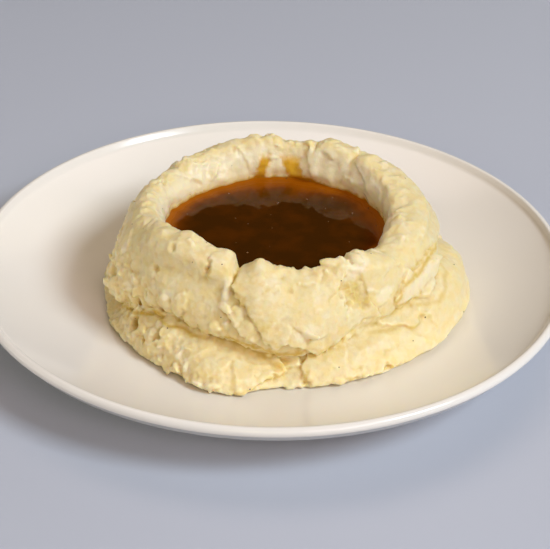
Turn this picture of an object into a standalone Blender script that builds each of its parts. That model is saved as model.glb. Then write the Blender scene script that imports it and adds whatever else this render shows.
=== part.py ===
# A side of mashed potato on its plate: a coupe plate, a two-tier ring of mash
# with a hollow in its top, and the pool of gravy that fills the hollow.
# Units are metres, +Z is up, and the origin is the centre of the plate's foot, on the table.

import math

import bmesh
import bpy
from mathutils import Vector, noise

MM = 0.001

# Plate
PLATE_DIAMETER = 229 * MM
PLATE_HEIGHT = 24 * MM
WELL_RADIUS = 52 * MM
WELL_TOP = 6.0 * MM
RIM_CURVE = 2.1  # power of the curve from the well up to the lip
WALL_THICKNESS = 4.2 * MM
LIP_THICKNESS = 3.6 * MM
FOOT_OUTER_RADIUS = 64 * MM
FOOT_WIDTH = 5 * MM
FOOT_ROUND = 0.8 * MM
FOOT_RECESS = 1.8 * MM
PLATE_SIDES = 72

# Mash: the lower tier, the crease above it, the upper tier and the hollow in its top
MASH_CENTRE = (1 * MM, -1 * MM)
LOWER_RADIUS = 68 * MM
LOWER_TUCK = 1.5 * MM  # how far the lower tier draws in where it meets the plate
LOWER_SLOPE = 4.5 * MM  # how far it draws in again by the time it reaches the crease
UPPER_RADIUS = 61.5 * MM
CREASE_HEIGHT = 21 * MM
CREASE_DEPTH = 6 * MM
CREASE_WIDTH = 3.5 * MM
CREST_RADIUS = 47.5 * MM
CREST_HEIGHT = 47.2 * MM
CREST_ROUND = 3.2 * MM
SHOULDER_WIDTH = 5.5 * MM
HOLLOW_RADIUS = 42.5 * MM
HOLLOW_DEPTH = 13 * MM
LUMP_SIZE = 15 * MM
LUMP_HEIGHT = 1.3 * MM
MASH_SIDES = 72

# Gravy
GRAVY_LEVEL = 34 * MM
GRAVY_TOP_RINGS = 3

GAP = 0.3 * MM  # kept between pieces that touch

# Where a spoonful stands proud of the ring, or a dent cuts into it: the angle round the ring
# and the half width, in degrees, and how far it goes.
LOWER_LOBES = (
    (350, 42, 7.5 * MM),
    (60, 20, 2.0 * MM),
    (120, 22, 2.5 * MM),
    (180, 18, -2.0 * MM),
    (218, 16, -1.0 * MM),
    (256, 14, 6.5 * MM),
    (272, 8, -3.5 * MM),
)
UPPER_LOBES = (
    (18, 30, 3.5 * MM),
    (100, 26, 1.5 * MM),
    (162, 28, -3.2 * MM),
    (198, 11, 3.0 * MM),
    (240, 14, -1.5 * MM),
    (276, 16, 2.0 * MM),
    (312, 14, -1.5 * MM),
)
CREASE_LOBES = (
    (350, 24, 9.0 * MM),
    (60, 20, 3.0 * MM),
    (130, 24, -2.0 * MM),
    (194, 17, -7.5 * MM),
    (232, 12, 3.0 * MM),
    (274, 14, -5.0 * MM),
)
SHOULDER_LOBES = (
    (5, 38, 5.5 * MM),
    (150, 24, -1.5 * MM),
    (228, 22, 2.0 * MM),
)
CREST_LOBES = (
    (30, 15, 1.5 * MM),
    (58, 16, 2.5 * MM),
    (82, 7, -1.5 * MM),
    (98, 16, 3.0 * MM),
    (150, 20, -2.0 * MM),
    (228, 22, 5.5 * MM),
    (257, 6, -3.0 * MM),
    (267, 8, 2.5 * MM),
    (288, 14, -3.4 * MM),
    (328, 14, -5.5 * MM),
    (0, 14, -2.0 * MM),
)
HOLLOW_LOBES = (
    (65, 20, -2.0 * MM),
    (128, 30, -3.5 * MM),
)


def swell(angle, lobes):
    """The sum of the lobes at an angle round the ring."""
    total = 0.0
    for centre, half_width, height in lobes:
        turn = math.remainder(angle - math.radians(centre), math.tau)
        total += height * math.exp(-((turn / math.radians(half_width)) ** 2))
    return total


def smooth_step(t):
    t = min(max(t, 0.0), 1.0)
    return t * t * (3 - 2 * t)


def through(points, steps):
    """A Catmull-Rom curve through (radius, height) points, with this many steps in each span."""
    padded = [points[0], *points, points[-1]]
    curve = []
    for a, b, c, d in zip(padded, padded[1:], padded[2:], padded[3:]):
        for step in range(steps):
            t = step / steps
            curve.append(tuple(catmull_rom(a[k], b[k], c[k], d[k], t) for k in (0, 1)))
    curve.append(points[-1])
    return curve


def catmull_rom(a, b, c, d, t):
    linear = (c - a) * t
    square = (2 * a - 5 * b + 4 * c - d) * t**2
    cubic = (3 * b - a - 3 * c + d) * t**3
    return b + 0.5 * (linear + square + cubic)


def plate_surface(radius):
    """The height of the plate's eating surface: flat in the well, then a curve up to the lip."""
    rim = PLATE_DIAMETER / 2 - LIP_THICKNESS / 2
    rise = PLATE_HEIGHT - LIP_THICKNESS / 3 - WELL_TOP
    share = max(radius - WELL_RADIUS, 0.0) / (rim - WELL_RADIUS)
    return WELL_TOP + rise * share**RIM_CURVE


def plate_profile():
    """The plate's section from the centre, over the lip, under the rim and foot, back to the centre."""
    lip = LIP_THICKNESS / 2
    rim = PLATE_DIAMETER / 2 - lip
    slope = rim - lip - WELL_RADIUS
    inside = [WELL_RADIUS / 2] + [WELL_RADIUS + share / 8 * slope for share in range(8)]
    over_lip = [math.radians(a) for a in range(135, -61, -39)]
    overhang = rim - lip - FOOT_OUTER_RADIUS
    underside = [FOOT_OUTER_RADIUS + share / 9 * overhang for share in (8, 6, 4, 2.5, 1)]
    foot_inner_radius = FOOT_OUTER_RADIUS - FOOT_WIDTH
    return [
        (0.0, WELL_TOP),
        *((r, plate_surface(r)) for r in inside),
        *((rim + lip * math.cos(a), PLATE_HEIGHT - lip + lip * math.sin(a)) for a in over_lip),
        *((r, plate_surface(r) - WALL_THICKNESS) for r in underside),
        (FOOT_OUTER_RADIUS, FOOT_ROUND),
        (FOOT_OUTER_RADIUS - FOOT_ROUND, 0.0),
        (foot_inner_radius + FOOT_ROUND, 0.0),
        (foot_inner_radius, FOOT_ROUND),
        (foot_inner_radius - FOOT_ROUND, FOOT_RECESS),
        (foot_inner_radius / 2, FOOT_RECESS),
        (0.0, FOOT_RECESS),
    ]


def mash_section(angle):
    """The mash's section at one angle, from the middle of its base, up the two tiers, over the crest
    and down into the hollow."""
    lower = LOWER_RADIUS + swell(angle, LOWER_LOBES)
    foot = lower - LOWER_TUCK
    upper = UPPER_RADIUS + swell(angle, UPPER_LOBES)
    crease = CREASE_HEIGHT + swell(angle, CREASE_LOBES)
    crest = CREST_HEIGHT + swell(angle, CREST_LOBES)
    shoulder = CREST_RADIUS + SHOULDER_WIDTH + swell(angle, SHOULDER_LOBES)
    hollow = HOLLOW_RADIUS + swell(angle, HOLLOW_LOBES)
    base = plate_surface(lower) + GAP
    tier = crest - crease
    floor = GRAVY_LEVEL - HOLLOW_DEPTH
    points = [
        (0.0, WELL_TOP + GAP),
        (foot / 2, plate_surface(foot / 2) + GAP),
        (foot, base),
        (lower, base + 0.28 * (crease - base)),
        (lower - LOWER_SLOPE, crease - CREASE_WIDTH),
        (upper - CREASE_DEPTH, crease),
        (upper - 0.2 * CREASE_DEPTH, crease + 0.11 * tier),
        (upper, crease + 0.36 * tier),
        (upper - 0.7 * SHOULDER_WIDTH, crease + 0.7 * tier),
        (shoulder, crest - 0.08 * tier),
        (CREST_RADIUS, crest),
        (CREST_RADIUS - CREST_ROUND, crest - 0.8 * CREST_ROUND),
        (hollow, GRAVY_LEVEL + 0.3 * HOLLOW_DEPTH),
        (hollow, GRAVY_LEVEL - 0.3 * HOLLOW_DEPTH),
        (0.8 * hollow, floor + 0.2 * HOLLOW_DEPTH),
        (hollow / 2, floor),
        (0.0, floor),
    ]
    return through(points, 2)


def turned(radius, height, angle):
    return Vector(
        (
            MASH_CENTRE[0] + radius * math.cos(angle),
            MASH_CENTRE[1] + radius * math.sin(angle),
            height,
        )
    )


def lumpiness(radius, height):
    """How much of its lumps the mash shows here: none on the plate, none under the gravy."""
    if radius > CREST_RADIUS:
        return smooth_step((height - WELL_TOP - LUMP_HEIGHT) / LUMP_SIZE * 2)
    return smooth_step((height - GRAVY_LEVEL - LUMP_HEIGHT) / LUMP_SIZE * 4)


def mash_column(angle):
    section = mash_section(angle)
    column = [turned(radius, height, angle) for radius, height in section]
    for row in range(1, len(section) - 1):
        radius, height = section[row]
        push = LUMP_HEIGHT * lumpiness(radius, height) * noise.noise(column[row] / LUMP_SIZE)
        along = Vector(section[row + 1]) - Vector(section[row - 1])
        along.normalize()
        column[row] = turned(radius + push * along.y, height - push * along.x, angle)
    return column


def mash_grid():
    """The mash's points: one row for each step of the section, one column for each angle."""
    columns = [mash_column(math.tau * side / MASH_SIDES) for side in range(MASH_SIDES)]
    return [list(row) for row in zip(*columns)]


def gravy_edge(column):
    """Where one column of the mash's points crosses the gravy's level inside the hollow."""
    for upper, lower in zip(column, column[1:]):
        if axis_distance(upper) < CREST_RADIUS and upper.z >= GRAVY_LEVEL > lower.z:
            return upper.lerp(lower, (upper.z - GRAVY_LEVEL) / (upper.z - lower.z))


def gravy_grid(mash_rows):
    """The gravy's points: flat rings from the middle out to the wall of the hollow, then the wall and
    floor of the hollow itself, a gap inside the mash."""
    edge = [inward(gravy_edge(column)) for column in zip(*mash_rows)]
    middle = Vector((*MASH_CENTRE, GRAVY_LEVEL))
    rows = [[middle] * MASH_SIDES]
    for ring in range(1, GRAVY_TOP_RINGS + 1):
        rows.append([middle.lerp(point, ring / GRAVY_TOP_RINGS) for point in edge])
    bed_top = GRAVY_LEVEL - HOLLOW_DEPTH / 2
    crest_row = max(range(len(mash_rows)), key=lambda row: mash_rows[row][0].z)
    for row in mash_rows[crest_row:]:
        if row[0].z < bed_top:
            rows.append([inward(point) + Vector((0, 0, GAP)) for point in row])
    return rows


def axis_distance(point):
    return math.dist(point.xy, MASH_CENTRE)


def inward(point):
    """The point moved a gap towards the mash's axis."""
    axis = Vector((*MASH_CENTRE, point.z))
    return point.lerp(axis, GAP / max(axis_distance(point), GAP))


def closed_from_rows(name, rows, material):
    """A closed body from rings of points. The first and the last row are single points."""
    body = bmesh.new()
    sides = len(rows[0])
    first, last = body.verts.new(rows[0][0]), body.verts.new(rows[-1][0])
    rings = [[body.verts.new(point) for point in row] for row in rows[1:-1]]
    for side in range(sides):
        after = (side + 1) % sides
        body.faces.new((first, rings[0][side], rings[0][after]))
        body.faces.new((last, rings[-1][after], rings[-1][side]))
        for low, high in zip(rings, rings[1:]):
            body.faces.new((low[side], high[side], high[after], low[after]))
    bmesh.ops.recalc_face_normals(body, faces=body.faces)
    mesh = bpy.data.meshes.new(name)
    body.to_mesh(mesh)
    body.free()
    mesh.shade_smooth()
    mesh.materials.append(material)
    obj = bpy.data.objects.new(name, mesh)
    bpy.context.scene.collection.objects.link(obj)


def finish(name, colour, roughness):
    material = bpy.data.materials.new(name)
    material.use_nodes = True
    shader = material.node_tree.nodes["Principled BSDF"]
    shader.inputs["Base Color"].default_value = (*colour, 1.0)
    shader.inputs["Roughness"].default_value = roughness
    shader.inputs["Metallic"].default_value = 0.0
    return material


def make_plate():
    angles = [math.tau * side / PLATE_SIDES for side in range(PLATE_SIDES)]
    rows = [
        [Vector((r * math.cos(a), r * math.sin(a), z)) for a in angles] for r, z in plate_profile()
    ]
    closed_from_rows("plate", rows, finish("glazed_ceramic", (0.86, 0.81, 0.72), 0.12))


def make_mash(rows):
    closed_from_rows("mash", rows, finish("mashed_potato", (0.83, 0.70, 0.42), 0.45))


def make_gravy(mash_rows):
    rows = gravy_grid(mash_rows)
    closed_from_rows("gravy", rows, finish("brown_gravy", (0.06, 0.02, 0.003), 0.08))


def main():
    for obj in list(bpy.data.objects):
        bpy.data.objects.remove(obj)
    make_plate()
    mash_rows = mash_grid()
    make_mash(mash_rows)
    make_gravy(mash_rows)


main()
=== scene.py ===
# Mashed potato side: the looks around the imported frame.
# A glazed plate, a ring of mash sculpted from spoonfuls, gravy in its hollow, bubbles and pepper.

import math
import random

import bmesh
import bpy
import numpy as np
from mathutils import Matrix, Vector, noise
from mathutils.bvhtree import BVHTree


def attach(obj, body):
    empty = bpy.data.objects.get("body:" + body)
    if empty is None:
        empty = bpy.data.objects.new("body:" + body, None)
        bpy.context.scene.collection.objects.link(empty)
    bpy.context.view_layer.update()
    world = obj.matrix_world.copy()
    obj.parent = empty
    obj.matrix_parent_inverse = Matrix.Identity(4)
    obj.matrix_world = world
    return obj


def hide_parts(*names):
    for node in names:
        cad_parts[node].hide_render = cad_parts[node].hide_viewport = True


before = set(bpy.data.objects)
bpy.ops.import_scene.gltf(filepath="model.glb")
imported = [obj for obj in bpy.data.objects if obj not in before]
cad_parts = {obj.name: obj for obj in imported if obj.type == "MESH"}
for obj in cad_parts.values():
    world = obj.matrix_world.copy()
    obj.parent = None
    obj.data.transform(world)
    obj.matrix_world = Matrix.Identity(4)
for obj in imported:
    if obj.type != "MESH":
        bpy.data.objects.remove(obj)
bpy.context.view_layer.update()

mm = 0.001
scene = bpy.context.scene
scene.view_settings.view_transform = "Standard"
ringCentre = np.array((1 * mm, -1 * mm, 0))  # the axis of the ring of mash
upward = Vector((0, 0, 1))


def say(text):
    print("mash side:", text)


def newObject(name, data):
    obj = bpy.data.objects.new(name, data)
    scene.collection.objects.link(obj)
    return obj


def meshObject(name, points, faces, edges=()):
    mesh = bpy.data.meshes.new(name)
    mesh.from_pydata([tuple(p) for p in points], edges, faces)
    mesh.validate()
    mesh.shade_smooth()
    return newObject(name, mesh)


def facesOut(mesh, mergeDistance=None):
    # doubled points become one, and every face points outwards
    body = bmesh.new()
    body.from_mesh(mesh)
    if mergeDistance:
        bmesh.ops.remove_doubles(body, verts=body.verts, dist=mergeDistance)
    bmesh.ops.recalc_face_normals(body, faces=body.faces)
    body.to_mesh(mesh)
    body.free()


def applyModifiers(obj):
    graph = bpy.context.evaluated_depsgraph_get()
    mesh = bpy.data.meshes.new_from_object(obj.evaluated_get(graph))
    obj.modifiers.clear()
    obj.data = mesh


def remesh(obj, voxel):
    modifier = obj.modifiers.new("voxels", "REMESH")
    modifier.mode = "VOXEL"
    modifier.voxel_size = voxel
    modifier.use_smooth_shade = True
    applyModifiers(obj)


def readRows(items, field, width, kind):
    flat = np.empty(len(items) * width, kind)
    items.foreach_get(field, flat)
    return flat.reshape(-1, width)


def readPoints(mesh, field="co"):
    return readRows(mesh.vertices, field, 3, np.float32).astype(float)


def readEdges(mesh):
    return readRows(mesh.edges, "vertices", 2, np.int32)


def writePoints(mesh, points):
    mesh.vertices.foreach_set("co", points.astype(np.float32).ravel())
    mesh.update()


def writeMask(mesh, name, values):
    attribute = mesh.attributes.new(name, "FLOAT", "POINT")
    attribute.data.foreach_set("value", np.clip(values, 0, 1).astype(np.float32))


def surfaceTree(points, mesh):
    return BVHTree.FromPolygons(points.tolist(), [tuple(p.vertices) for p in mesh.polygons])


def relaxed(values, edges, rounds, amount=0.5):
    # Laplacian smoothing of points or of numbers held on points
    count = len(values)
    columns = values.reshape(count, -1)
    links = np.maximum(np.bincount(edges.ravel(), minlength=count), 1)
    for _ in range(rounds):
        total = np.empty_like(columns)
        for axis in range(columns.shape[1]):
            one = np.bincount(edges[:, 0], columns[edges[:, 1], axis], count)
            two = np.bincount(edges[:, 1], columns[edges[:, 0], axis], count)
            total[:, axis] = one + two
        columns = columns + amount * (total / links[:, None] - columns)
    return columns.reshape(values.shape)


def noiseAt(points, size, seed, octaves=1):
    # gradient noise from about -1 to 1 at each point
    shifted = (points / size + seed * np.array((7.31, 3.77, 5.19))).tolist()
    if octaves == 1:
        return np.array([noise.noise(p) for p in shifted])
    return np.array([noise.fractal(p, 1.0, 2.1, octaves) for p in shifted])


def noises(points, rows):
    # layers of noise added up; each row is strength, size in mm and seed
    return sum(strength * noiseAt(points, size * mm, seed) for strength, size, seed in rows)


def domesAt(points, size, seed):
    # rounded lumps with creases between them, from 0 in a crease to 1 on top
    shifted = (points / size + seed * np.array((2.13, 9.41, 4.67))).tolist()
    near = np.array([noise.voronoi(p)[0][:2] for p in shifted])
    return np.clip(1 - (near[:, 0] / np.maximum(near[:, 1], 0.01)) ** 2, 0, 1)


def smoothStep(low, high, values):
    t = np.clip((values - low) / (high - low), 0, 1)
    return t * t * (3 - 2 * t)


def hill(values, middle, halfWidth):
    return np.exp(-(((values - middle) / halfWidth) ** 2))


def arc(angles, middle, halfWidth):
    # 1 at an angle round the ring, falling away on both sides of it, in degrees
    turn = (angles - middle + 180) % 360 - 180
    return np.exp(-((turn / halfWidth) ** 2))


def arcs(angles, base, rows):
    # a base value with arcs added; each row is angle, half width and strength
    for middle, halfWidth, strength in rows:
        base = base + strength * arc(angles, middle, halfWidth)
    return base


def unit(rows):
    return rows / np.maximum(np.linalg.norm(rows, axis=-1, keepdims=True), 1e-12)


def ringPlaces(points):
    # each point's angle in degrees, and its distance from the axis and height in mm
    flat = points - ringCentre
    angles = np.degrees(np.arctan2(flat[:, 1], flat[:, 0])) % 360
    return angles, np.hypot(flat[:, 0], flat[:, 1]) / mm, points[:, 2] / mm


def outFrom(angle):
    turn = math.radians(angle)
    return Vector((math.cos(turn), math.sin(turn), 0))


def feed(tree, node, inputs):
    # each input gets a value, or a socket to be linked to it
    for key, value in inputs.items():
        if isinstance(value, bpy.types.NodeSocket):
            tree.links.new(value, node.inputs[key])
        else:
            node.inputs[key].default_value = value


def put(tree, kind, inputs=None, **settings):
    # adds a node with its settings and inputs
    node = tree.nodes.new(kind)
    for key, value in settings.items():
        setattr(node, key, value)
    feed(tree, node, inputs or {})
    return node


def newNodeTree(name, kind, inputs, outputs):
    # each input is a name, a kind of socket and, where it has one, a value
    tree = bpy.data.node_groups.new(name, kind)
    for label, socketKind, *value in inputs:
        socket = tree.interface.new_socket(label, in_out="INPUT", socket_type="NodeSocket" + socketKind)
        if value:
            socket.default_value = value[0]
    for label, socketKind in outputs:
        tree.interface.new_socket(label, in_out="OUTPUT", socket_type="NodeSocket" + socketKind)
    return tree, put(tree, "NodeGroupInput").outputs


def endTree(tree, geometry, finish):
    # a tree ends in real geometry with its material on it
    real = put(tree, "GeometryNodeRealizeInstances", {"Geometry": geometry}).outputs[0]
    done = put(tree, "GeometryNodeSetMaterial", {"Geometry": real, "Material": finish})
    put(tree, "NodeGroupOutput", {0: done.outputs[0]})
    return tree


def grow(obj, tree, values):
    # runs a Geometry Nodes tree on an object and keeps the result as its mesh
    modifier = obj.modifiers.new("grow", "NODES")
    modifier.node_group = tree
    sockets = tree.interface.items_tree
    names = {s.name: s.identifier for s in sockets if s.in_out == "INPUT"}
    for label, value in values.items():
        modifier[names[label]] = value
    applyModifiers(obj)


def maths(tree, operation, *values, **settings):
    inputs = dict(enumerate(values))
    return put(tree, "ShaderNodeMath", inputs, operation=operation, **settings).outputs[0]


def mapped(tree, value, low, high, toLow=0.0, toHigh=1.0, **settings):
    inputs = {"Value": value, "From Min": low, "From Max": high, "To Min": toLow, "To Max": toHigh}
    return put(tree, "ShaderNodeMapRange", inputs, **settings).outputs["Result"]


def mixColours(tree, share, first, second):
    inputs = {0: share, 6: first, 7: second}  # the factor and the two colour sockets
    return put(tree, "ShaderNodeMix", inputs, data_type="RGBA").outputs[2]


def noiseNode(tree, place, scale, detail, **settings):
    inputs = {"Vector": place, "Scale": scale, "Detail": detail}
    return put(tree, "ShaderNodeTexNoise", inputs, **settings)


def mottleGroup():
    # soft patches of two colours
    inputs = [
        ("Vector", "Vector"),
        ("Patch Scale", "Float", 100.0),
        ("Detail", "Float", 3.0),
        ("Balance", "Float", 0.5),
        ("Softness", "Float", 0.3),
        ("Ground", "Color", (1, 1, 1, 1)),
        ("Patch", "Color", (0, 0, 0, 1)),
    ]
    outputs = [("Color", "Color"), ("Mask", "Float")]
    tree, given = newNodeTree("softMottle", "ShaderNodeTree", inputs, outputs)
    cloud = noiseNode(tree, given["Vector"], given["Patch Scale"], given["Detail"]).outputs["Fac"]
    low = maths(tree, "SUBTRACT", given["Balance"], given["Softness"])
    high = maths(tree, "ADD", given["Balance"], given["Softness"])
    mask = mapped(tree, cloud, low, high, interpolation_type="SMOOTHSTEP")
    colour = mixColours(tree, mask, given["Ground"], given["Patch"])
    put(tree, "NodeGroupOutput", {"Color": colour, "Mask": mask})
    return tree


def grainGroup():
    # fine relief of two sizes, as a height for a Bump node
    inputs = [
        ("Vector", "Vector"),
        ("Coarse Scale", "Float", 300.0),
        ("Fine Scale", "Float", 1200.0),
        ("Fine Share", "Float", 0.4),
    ]
    tree, given = newNodeTree("fineGrain", "ShaderNodeTree", inputs, [("Height", "Float")])
    coarse = noiseNode(tree, given["Vector"], given["Coarse Scale"], 2.0).outputs["Fac"]
    fine = noiseNode(tree, given["Vector"], given["Fine Scale"], 1.0).outputs["Fac"]
    total = maths(tree, "MULTIPLY_ADD", fine, given["Fine Share"], coarse)
    put(tree, "NodeGroupOutput", {"Height": total})
    return tree


def tornGroup():
    # sharp little ridges, as a height and as a mask of their crests
    inputs = [("Vector", "Vector"), ("Scale", "Float", 350.0), ("Bend", "Float", 0.4)]
    outputs = [("Height", "Float"), ("Crests", "Float")]
    tree, given = newNodeTree("tornRidges", "ShaderNodeTree", inputs, outputs)
    node = noiseNode(tree, given["Vector"], given["Scale"], 3.0, noise_type="RIDGED_MULTIFRACTAL")
    feed(tree, node, {"Roughness": 0.5, "Distortion": given["Bend"]})
    ridges = node.outputs["Fac"]
    parts = {"Height": mapped(tree, ridges, 0.0, 2.2), "Crests": mapped(tree, ridges, 1.35, 2.1)}
    put(tree, "NodeGroupOutput", parts)
    return tree


softMottle = mottleGroup()
tornRidges = tornGroup()
fineGrain = grainGroup()


def mottled(tree, place, scale, ground, patch, detail=3.0, balance=0.5, softness=0.3):
    inputs = {"Vector": place, "Patch Scale": scale, "Ground": ground, "Patch": patch}
    inputs |= {"Detail": detail, "Balance": balance, "Softness": softness}
    return put(tree, "ShaderNodeGroup", inputs, node_tree=softMottle).outputs


def grained(tree, place, coarse, fine=1200.0, share=0.4):
    inputs = {"Vector": place, "Coarse Scale": coarse, "Fine Scale": fine, "Fine Share": share}
    return put(tree, "ShaderNodeGroup", inputs, node_tree=fineGrain).outputs["Height"]


def maskNode(tree, name):
    return put(tree, "ShaderNodeAttribute", attribute_name=name).outputs["Fac"]


def newMaterial(name, settings):
    material = bpy.data.materials.new(name)
    material.use_nodes = True
    tree = material.node_tree
    shader = tree.nodes["Principled BSDF"]
    feed(tree, shader, settings)
    return material, tree, shader, put(tree, "ShaderNodeTexCoord").outputs["Object"]


def dress(tree, shader, colour, height=None, distance=0.0, strength=1.0):
    # the colour, and the relief where there is one
    feed(tree, shader, {"Base Color": colour})
    if height is not None:
        inputs = {"Height": height, "Distance": distance, "Strength": strength}
        feed(tree, shader, {"Normal": put(tree, "ShaderNodeBump", inputs).outputs["Normal"]})


def finishPiece(obj, node=None):
    # every piece rides on the one body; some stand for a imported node
    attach(obj, "root")
    if node:
        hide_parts(node)
    say("%s done, %d faces" % (obj.name, len(obj.data.polygons)))


plateLook = {
    "diameter": 229 * mm,
    "height": 24 * mm,
    "wellRadius": 52 * mm,
    "wellTop": 6 * mm,
    "rimCurve": 2.1,
    "wall": 4.2 * mm,
    "lip": 3.6 * mm,
    "footRadius": 64 * mm,
    "footWidth": 5 * mm,
    "footRound": 0.8 * mm,
    "footRecess": 1.8 * mm,
    "sides": 200,
    "rimSteps": 34,
    "lipSteps": 14,
    "glaze": (0.865, 0.825, 0.755, 1),
    "glazePatch": (0.855, 0.81, 0.73, 1),
    "shine": {"Roughness": 0.2, "Coat Weight": 0.12, "Coat Roughness": 0.08, "IOR": 1.5},
}


def plateSurface(radius):
    # height of the eating surface: flat in the well, then a curve up to the lip
    look = plateLook
    rim = look["diameter"] / 2 - look["lip"] / 2
    rise = look["height"] - look["lip"] / 3 - look["wellTop"]
    share = max(radius - look["wellRadius"], 0.0) / (rim - look["wellRadius"])
    return look["wellTop"] + rise * share ** look["rimCurve"]


def plateSection():
    look = plateLook
    lip = look["lip"] / 2
    rim = look["diameter"] / 2 - lip
    foot, bevel, recess = look["footRadius"], look["footRound"], look["footRecess"]
    inner = foot - look["footWidth"]
    well = [share * look["wellRadius"] for share in (0.0, 0.25, 0.5, 0.75, 0.92)]
    slope = np.linspace(look["wellRadius"], rim - 0.9 * lip, look["rimSteps"])
    turn = np.radians(np.linspace(122, -60, look["lipSteps"]))
    under = np.linspace(rim - 0.6 * lip, foot + 1.5 * bevel, look["rimSteps"] // 2)
    points = [(r, plateSurface(r)) for r in (*well, *slope)]
    points += [(rim + lip * math.cos(a), look["height"] - lip + lip * math.sin(a)) for a in turn]
    points += [(r, max(plateSurface(r) - look["wall"], bevel * 1.6)) for r in under]
    points += [(foot, bevel), (foot - 0.3 * bevel, 0.3 * bevel), (foot - bevel, 0.0)]
    points += [(inner + bevel, 0.0), (inner + 0.3 * bevel, 0.3 * bevel), (inner, bevel)]
    points += [(inner - bevel, recess), (inner / 2, recess), (0.0, recess)]
    return points


def turnedTree():
    # spins a section round the Z axis: one row of the grid for each point of the section
    inputs = [
        ("Section", "Geometry"),
        ("Sides", "Int", 64),
        ("Merge Distance", "Float", 0.01 * mm),
        ("Finish", "Material"),
    ]
    tree, given = newNodeTree("turnedBody", "GeometryNodeTree", inputs, [("Body", "Geometry")])
    count = put(tree, "GeometryNodeAttributeDomainSize", {"Geometry": given["Section"]})
    rows = count.outputs["Point Count"]
    columns = maths(tree, "ADD", given["Sides"], 1.0)
    size = {"Size X": 1.0, "Size Y": 1.0, "Vertices X": rows, "Vertices Y": columns}
    grid = put(tree, "GeometryNodeMeshGrid", size).outputs
    share = put(tree, "ShaderNodeSeparateXYZ", {0: grid["UV Map"]}).outputs
    last = maths(tree, "SUBTRACT", rows, 1.0)
    row = maths(tree, "ROUND", maths(tree, "MULTIPLY", share[0], last))
    place = put(tree, "GeometryNodeInputPosition").outputs[0]
    picked = {"Geometry": given["Section"], "Value": place, "Index": row}
    point = put(tree, "GeometryNodeSampleIndex", {}, data_type="FLOAT_VECTOR", domain="POINT")
    feed(tree, point, picked)
    turn = {"Vector": point.outputs["Value"], "Angle": maths(tree, "MULTIPLY", share[1], math.tau)}
    spun = put(tree, "ShaderNodeVectorRotate", turn, rotation_type="Z_AXIS").outputs[0]
    body = put(tree, "GeometryNodeSetPosition", {"Geometry": grid["Mesh"], "Position": spun})
    seams = {"Geometry": body.outputs[0], "Distance": given["Merge Distance"]}
    body = put(tree, "GeometryNodeMergeByDistance", seams)
    body = put(tree, "GeometryNodeSetShadeSmooth", {"Geometry": body.outputs[0]})
    return endTree(tree, body.outputs[0], given["Finish"])


def glazeMaterial():
    look = plateLook
    material, tree, shader, place = newMaterial("glazedCeramic", look["shine"])
    clouds = mottled(tree, place, 22.0, look["glaze"], look["glazePatch"], detail=4.0)
    dress(tree, shader, clouds["Color"], grained(tree, place, 45.0, 400.0, 0.05), 0.12 * mm, 0.35)
    return material


def makePlate():
    section = [(r, 0.0, z) for r, z in plateSection()]
    edges = [(n, n + 1) for n in range(len(section) - 1)]
    obj = meshObject("plateGlazed", section, [], edges)
    grow(obj, turnedTree(), {"Sides": plateLook["sides"], "Finish": glazeMaterial()})
    facesOut(obj.data)
    finishPiece(obj, "plate")


def ledge(path, rise, reach, cut, ragged, lean, width=0.9, shade=0.0, inner=False):
    # A torn edge: the mash on the left of its path stands proud by rise, over reach, and leans out.
    # On its right is a cut of some width; shade is how much painted shade darkens the colour along the
    # cut, and inner puts it on the inner wall.
    return dict(path=path, rise=rise, reach=reach, cut=cut, ragged=ragged, lean=lean, width=width,
                shade=shade, inner=inner)


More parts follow.
